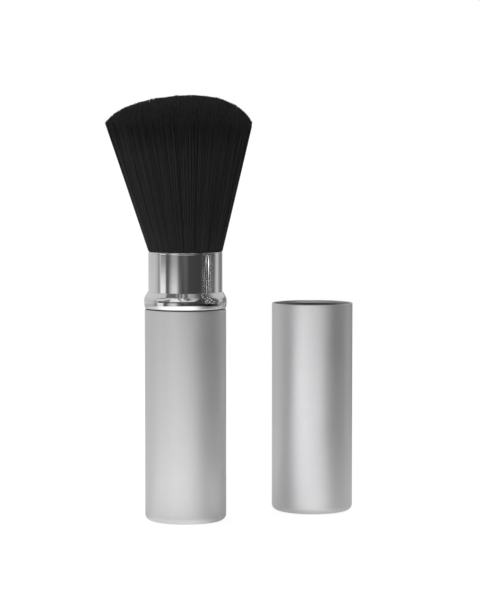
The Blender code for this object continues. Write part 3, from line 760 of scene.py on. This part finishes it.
# Bristle cup and resin. A bright drawn ferrule crimped on the stem and round the roots, with
# the amber resin that the roots are set in.
BRIGHT_LIGHT = (0.80, 0.80, 0.81)
BRIGHT_DARK = (0.74, 0.74, 0.75)
RESIN_LIGHT = (0.60, 0.52, 0.34)
RESIN_DARK = (0.48, 0.40, 0.24)


def bright_aluminium():
    """Drawn aluminium: bright, with fine lines round it from the die."""
    material, tree, shader, place = new_finish("polished_aluminium")
    shader.inputs["Metallic"].default_value = 1.0
    drawing = {"Scale": 900.0, "Distortion": 1.5}
    lines = add_node(tree, "ShaderNodeTexWave", drawing, {"Vector": place})
    lines.bands_direction = "Z"
    colour = mixed(tree, lines.outputs["Fac"], BRIGHT_DARK, BRIGHT_LIGHT)
    worn = place_group(tree, handling, place, Clean=0.14, Handled=0.24)
    vary(tree, shader, colour, worn["Roughness"])
    return material


def amber_resin():
    """Cast resin: clouded amber with a gloss."""
    material, tree, shader, place = new_finish("resin")
    clouds = noise(tree, place, scale=400.0, detail=3.0)
    colour = mixed(tree, clouds, RESIN_DARK, RESIN_LIGHT)
    worn = place_group(tree, handling, place, Clean=0.20, Handled=0.34)
    vary(tree, shader, colour, worn["Roughness"])
    return material


refinish("bristle_cup", bright_aluminium())
refinish("glue_plug", amber_resin())


# Bristles. Fine dark synthetic filament in tufts, glued in a slice at the roots. It fills the
# sleeve to the lip, then flares to twice the width, and is trimmed to a dome.
STRANDS = 13000
TUFTS = 24
CLUMPS = 420
SLICE_TOP = 63.5 * MM
SLICE_BOTTOM = 62.4 * MM
SLICE_RADIUS = 8.8 * MM
SLICE_BEVEL = 0.2 * MM
SLICE_STEPS = 96
ROOT_RADIUS = 8.5 * MM
ROOT_DEPTH = 0.4 * MM
THROAT_RADIUS = 9.60 * MM
THROAT_BELOW_LIP = 0.15 * MM
FLARE_RADIUS = 10.10 * MM
FLARE_ABOVE_LIP = 0.2 * MM
HEAD_RADIUS = 20.35 * MM
RIM_LEVEL = 109.2 * MM
PEAK_LEVEL = 116.45 * MM
LEAN = 1.75 * MM
DOME_ROUND = 4.3 * MM
DOME_EDGE = 3.07 * MM
DOME_SKEW = 1.7 * MM
DOME_CLEAR = 0.30 * MM
CLUMP_DROP = 0.07 * MM
STRAND_DROP = 0.20 * MM
EDGE_DROP_SHARE = 2
EDGE_POWER = 20
HOME_SCATTER_SHARE = 0.004
CLUMP_SCATTER_SHARE = 0.012
PULLED_SCATTER_SHARE = 0.005
CLUMP_PULL_SHARES = (0.03, 0.22)
STRAY_SHARE = 0.010
STRAND_HALF_WIDTHS = [width * MM for width in (0.095, 0.095, 0.092, 0.090, 0.086, 0.078, 0.055)]
WIDTH_SHARES = (0.85, 1.15)
GOLDEN_ANGLE = math.pi * (3 - math.sqrt(5))
LEAST = 1e-6
FILAMENT_LIGHT = (0.0400, 0.0398, 0.0400)
FILAMENT_DARK = (0.0150, 0.0150, 0.0153)
STRAND_TINT_SHARE = 0.14
TIP_PAINTED_LIGHT_SHARE = 0.74
TIP_PAINTED_LIGHT_POWER = 1.6
STRAND_ROUGHNESS = 0.45
STRAND_ROUGHNESS_SPAN = 0.15


def dark_filament():
    """Filament: near black, a little lighter on some strands, and lighter towards the tips as
    painted light on the head's top. This is read from each strand's own shade and from how far
    along it a point is."""
    material, tree, shader, place = new_finish("dark_bristle")
    shader.inputs["Specular IOR Level"].default_value = 0.20
    shade = add_node(tree, "ShaderNodeAttribute", attribute_name="shade").outputs["Fac"]
    along = add_node(tree, "ShaderNodeAttribute", attribute_name="along").outputs["Fac"]
    mottled = work_out(tree, "ADD", noise(tree, place, scale=300.0, detail=2.0), shade)
    lighter = work_out(tree, "MULTIPLY", mottled, STRAND_TINT_SHARE)
    # Painted light: lighter towards the tips, which lifts the top of the head
    tip = work_out(tree, "POWER", along, TIP_PAINTED_LIGHT_POWER)
    lighter = work_out(tree, "MULTIPLY_ADD", tip, TIP_PAINTED_LIGHT_SHARE, lighter)
    colour = mixed(tree, lighter, FILAMENT_DARK, FILAMENT_LIGHT)
    roughness = work_out(tree, "MULTIPLY_ADD", shade, STRAND_ROUGHNESS_SPAN, STRAND_ROUGHNESS)
    vary(tree, shader, colour, roughness)
    return material


def sunflower(count):
    """Places spread evenly in the unit circle: place n - 1/2 of count lies at the distance
    sqrt((n - 1/2) / count), turned by (n - 1/2) golden angles."""
    order = np.arange(count) + 0.5
    out = np.sqrt(order / count)
    angle = order * GOLDEN_ANGLE
    return np.stack([out * np.cos(angle), out * np.sin(angle)], 1)


def strand_grid(seed=11):
    """All strands at once, as an array of (strand, row, corner, xyz), with the direction that
    each faces and its shade.

    A strand with home (p cos a, p sin a) on a sunflower spiral follows
    x = p R(z) cos a - lean c(z), y = p R(z) sin a, where R is the root, throat, flare and
    head radius in turn, and c is the climb from the lip to the rim. Its clump draws it in by
    a share that grows as c squared, and three corners stand round the line at each row. Its
    tip lies round p^2 + edge p^4 - skew p cos a (1 - p^2) below the peak, and a little lower
    by chance, most of all at the rim."""
    dice = np.random.default_rng(seed)
    home = sunflower(STRANDS)
    home += dice.normal(0.0, HOME_SCATTER_SHARE, home.shape)
    clumps = sunflower(CLUMPS)
    clumps += dice.normal(0.0, CLUMP_SCATTER_SHARE, clumps.shape)
    nearest = np.argmin(((home[:, None] - clumps[None]) ** 2).sum(2), 1)
    pull = dice.uniform(*CLUMP_PULL_SHARES, CLUMPS)[nearest]
    pulled = home + (clumps[nearest] - home) * pull[:, None]
    pulled += dice.normal(0.0, PULLED_SCATTER_SHARE, home.shape)
    out = np.linalg.norm(pulled, axis=1)
    pulled *= (np.minimum(out, 1.0) / np.maximum(out, LEAST))[:, None]
    out = np.minimum(out, 1.0)
    at_edge = out**EDGE_POWER

    drop = DOME_ROUND * out**2 + DOME_EDGE * out**4 - DOME_SKEW * pulled[:, 0] * (1 - out**2)
    drop += DOME_CLEAR + dice.normal(0.0, CLUMP_DROP, CLUMPS)[nearest]
    drop += np.abs(dice.normal(0.0, STRAND_DROP, STRANDS)) * (1 + EDGE_DROP_SHARE * at_edge)
    tip = PEAK_LEVEL - drop

    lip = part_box("chrome_sleeve")[1].z
    throat, flare = lip - THROAT_BELOW_LIP, lip + FLARE_ABOVE_LIP
    fixed = np.array([SLICE_TOP - ROOT_DEPTH, throat, flare])
    climb = np.linspace(0.0, 1.0, len(STRAND_HALF_WIDTHS) - 2)[1:]
    free = flare + (tip - flare)[:, None] * climb[None, :]
    levels = np.concatenate([np.tile(fixed, (STRANDS, 1)), free], 1)
    fan = FLARE_RADIUS + (HEAD_RADIUS - FLARE_RADIUS) * (levels - flare) / (RIM_LEVEL - flare)
    reach = np.where(levels > flare, fan, FLARE_RADIUS)
    reach[:, 0] = ROOT_RADIUS
    reach[:, 1] = THROAT_RADIUS
    rise = np.clip((levels - lip) / (RIM_LEVEL - lip), 0.0, None)
    drawn = home[:, None, :] + (pulled - home)[:, None, :] * (rise**2)[:, :, None]
    strays = 1 - np.abs(dice.normal(0.0, STRAY_SHARE, STRANDS)) * at_edge
    drawn *= 1 + (strays - 1)[:, None, None] * rise[:, :, None]
    line_x = drawn[:, :, 0] * reach - LEAN * rise
    line_y = drawn[:, :, 1] * reach

    start = dice.uniform(0.0, math.tau, STRANDS)
    turns = start[:, None, None] + np.arange(3)[None, None, :] * math.tau / 3
    widths = dice.uniform(*WIDTH_SHARES, STRANDS)[:, None, None]
    half = np.array(STRAND_HALF_WIDTHS)[None, :, None] * widths
    x = line_x[:, :, None] + half * np.cos(turns)
    y = line_y[:, :, None] + half * np.sin(turns)
    z = np.broadcast_to(levels[:, :, None], x.shape)
    facing = np.arctan2(pulled[:, 1], pulled[:, 0])
    return np.stack([x, y, z], 3), facing, dice.uniform(0.0, 1.0, STRANDS)


def strand_faces(count, rows):
    """Faces of count strands of three sides: the sides row by row, then a foot and a tip."""
    row, corner = np.meshgrid(np.arange(rows - 1), np.arange(3), indexing="ij")
    after = (corner + 1) % 3
    low, high = row * 3, row * 3 + 3
    sides = np.stack([low + corner, low + after, high + after, high + corner], 2).reshape(-1, 4)
    ends = np.array([[2, 1, 0], [rows * 3 - 3, rows * 3 - 2, rows * 3 - 1]])
    offsets = (np.arange(count) * rows * 3)[:, None, None]
    all_sides = (sides[None] + offsets).reshape(-1, 4).tolist()
    all_ends = (ends[None] + offsets).reshape(-1, 3).tolist()
    return all_sides + all_ends


filament = dark_filament()
strands, facing, shades = strand_grid()
row_count = strands.shape[1]
tuft_of = np.floor((facing / math.tau) * TUFTS + 0.5).astype(int) % TUFTS
for tuft in range(TUFTS):
    chosen = tuft_of == tuft
    some = strands[chosen]
    points = some.reshape(-1, 3)
    faces = strand_faces(len(some), row_count)
    piece = new_mesh(f"bristle_tuft_{tuft + 1:02d}", points.tolist(), faces)
    along = np.tile(np.repeat(np.linspace(0.0, 1.0, row_count), 3), len(some))
    shade = np.repeat(shades[chosen], row_count * 3)
    for name, values in (("along", along), ("shade", shade)):
        attribute = piece.data.attributes.new(name, "FLOAT", "POINT")
        attribute.data.foreach_set("value", values.astype(np.float32))
    piece.data.materials.append(filament)
    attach(piece, "handle")
    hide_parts("bristles")
    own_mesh(piece)

profile = [
    (0.0, SLICE_TOP),
    (SLICE_RADIUS - SLICE_BEVEL, SLICE_TOP),
    (SLICE_RADIUS, SLICE_TOP - SLICE_BEVEL),
    (SLICE_RADIUS, SLICE_BOTTOM),
    (0.0, SLICE_BOTTOM),
]
root_slice = new_mesh("root_slice", *turn_profile(profile, SLICE_STEPS), smooth=False)
root_slice.data.materials.append(filament)
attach(root_slice, "handle")
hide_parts("bristles")


# Cap. A second can of the same aluminium sheet, drawn, blasted and anodised as the handle is.
# It is loose, and stands on its closed end beside the brush.
CAP_WALL = 0.40 * MM
CAP_END = 0.80 * MM

bottom, top, radius, middle = extent("cap_shell")
profile = can_profile(bottom, top, radius, CAP_WALL, CAP_END, CAN_CORNER)
cap_can = new_mesh("cap_can", *turn_profile(profile, CAN_STEPS, middle))
cap_can.data.materials.append(satin)
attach(cap_can, "cap")
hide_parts("cap_shell")


# Cap liner. A dark moulded cup glued into the cap, with six ribs inside its mouth that grip
# the sleeve.
LINER_WALL = 0.40 * MM
LINER_END = 0.80 * MM
LINER_CORNER = 1.20 * MM
RIBS = 6
RIB_HEIGHT = 0.12 * MM
RIB_HALF_WIDTH = 0.30 * MM
RIB_BELOW = 0.80 * MM
RIB_LENGTH = 8.0 * MM
RIB_RAMP = 0.5 * MM
LINER_STEPS = 384
LINER_CORNER_PIECES = 8


def ribbed_bore(points, bore, mouth, centre):
    """Raises the ribs: r = bore - height * across(u) * along(z), where across is a rounded
    hump at each rib and along is a flat one with a ramp at each end."""
    points = np.array(points)
    flat = points[:, :2] - centre
    r = np.linalg.norm(flat, axis=1)
    u = np.arctan2(flat[:, 1], flat[:, 0])
    from_rib = (u * RIBS / math.tau + 0.5) % 1.0 - 0.5
    across = np.clip(1 - (from_rib * math.tau / RIBS * bore / RIB_HALF_WIDTH) ** 2, 0, 1)
    below = mouth - points[:, 2]
    up_ramp = np.clip((below - RIB_BELOW) / RIB_RAMP, 0, 1)
    down_ramp = np.clip((RIB_BELOW + RIB_LENGTH - below) / RIB_RAMP, 0, 1)
    on_bore = np.abs(r - bore) < LEAST
    scale = 1 - on_bore * RIB_HEIGHT * across * up_ramp * down_ramp / np.maximum(r, LEAST)
    points[:, :2] = centre + flat * scale[:, None]
    return points.tolist()


bottom, top, radius, middle = extent("cap_liner")
bore = radius - LINER_WALL
inner = LINER_CORNER - LINER_WALL
corner = (radius - LINER_CORNER, bottom + LINER_CORNER)
half = LINER_WALL / 2
rib_end = RIB_BELOW + RIB_LENGTH
rib_rows = [
    (bore, top - below)
    for below in (
        rib_end + EDGE_GUARD,
        rib_end,
        rib_end - RIB_RAMP,
        RIB_BELOW + RIB_LENGTH / 2,
        RIB_BELOW + RIB_RAMP,
        RIB_BELOW,
        RIB_BELOW - EDGE_GUARD,
    )
]
profile = [
    *guarded((0.0, bottom + LINER_END), (bore - inner, bottom + LINER_END))[:-1],
    *bend((bore - inner, bottom + LINER_END + inner), inner, inner, -90, 0, INNER_CORNER_PIECES),
    *rib_rows,
    *bend((bore + half, top - half), half, half, 180, 0, MOUTH_PIECES),
    *guarded((radius, top - half), (radius, bottom + LINER_CORNER))[1:-1],
    *bend(corner, LINER_CORNER, LINER_CORNER, 0, -90, LINER_CORNER_PIECES),
    (0.0, bottom),
]
points, faces = turn_profile(profile, LINER_STEPS, middle)
cap_lining = new_mesh("cap_lining", ribbed_bore(points, bore, top, np.array(middle)), faces)
cap_lining.data.materials.append(black_moulding)
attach(cap_lining, "cap")
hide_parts("cap_liner")
